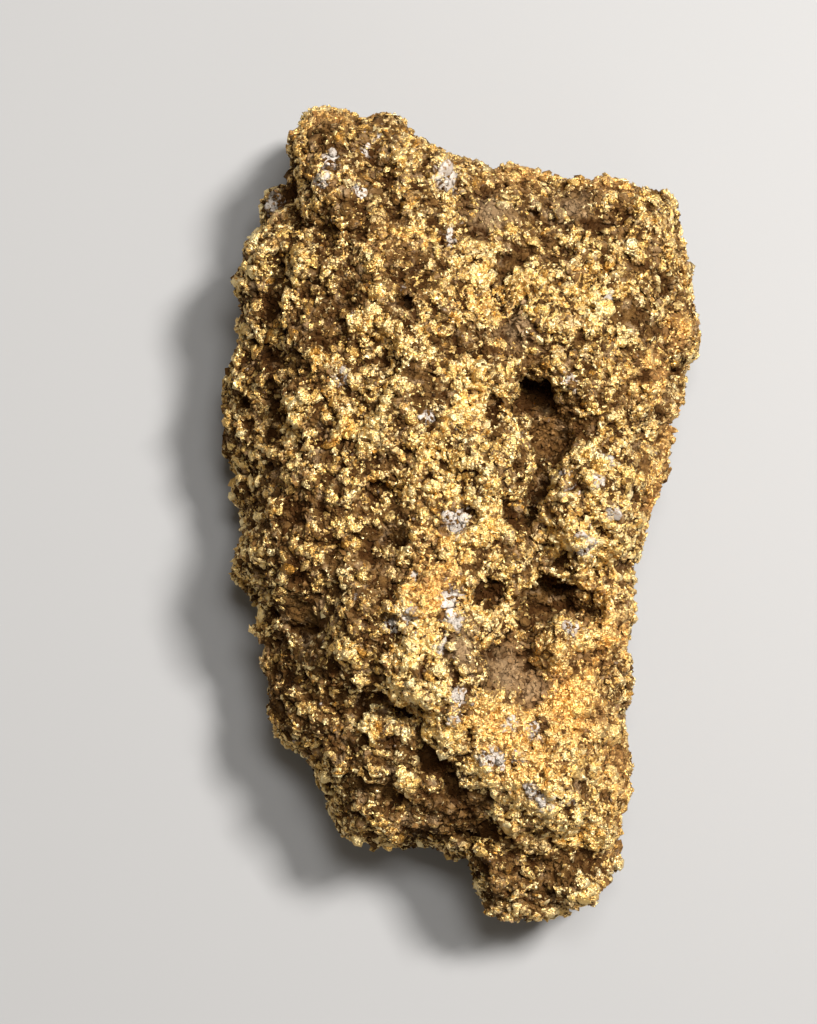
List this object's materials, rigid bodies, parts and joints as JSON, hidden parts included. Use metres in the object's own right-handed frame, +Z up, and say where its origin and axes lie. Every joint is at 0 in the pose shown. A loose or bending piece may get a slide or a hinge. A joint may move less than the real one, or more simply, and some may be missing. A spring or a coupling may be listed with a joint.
{
  "type": "gold nugget",
  "caption": "Rough gold nugget: one long craggy lump of granular gold, brown ironstone and a little white quartz grown together, with a deep fissure, lying on its flattest side.",
  "frame": {"origin": "middle of the bounding box, on the surface that the nugget lies on", "axes": "+Z up through the thickness, +Y along the nugget towards its narrow knobbly end with two heads, +X across it towards the side with the fissure"},
  "size_m": [0.0486, 0.0824, 0.0275],
  "materials": {
    "gold": null,
    "ironstone": "dull brown limonite, earthy in the hollows",
    "quartz": "milky, slightly glassy"
  },
  "bodies": {
    "root": {"nugget": "gold"}
  },
  "joints": []
}
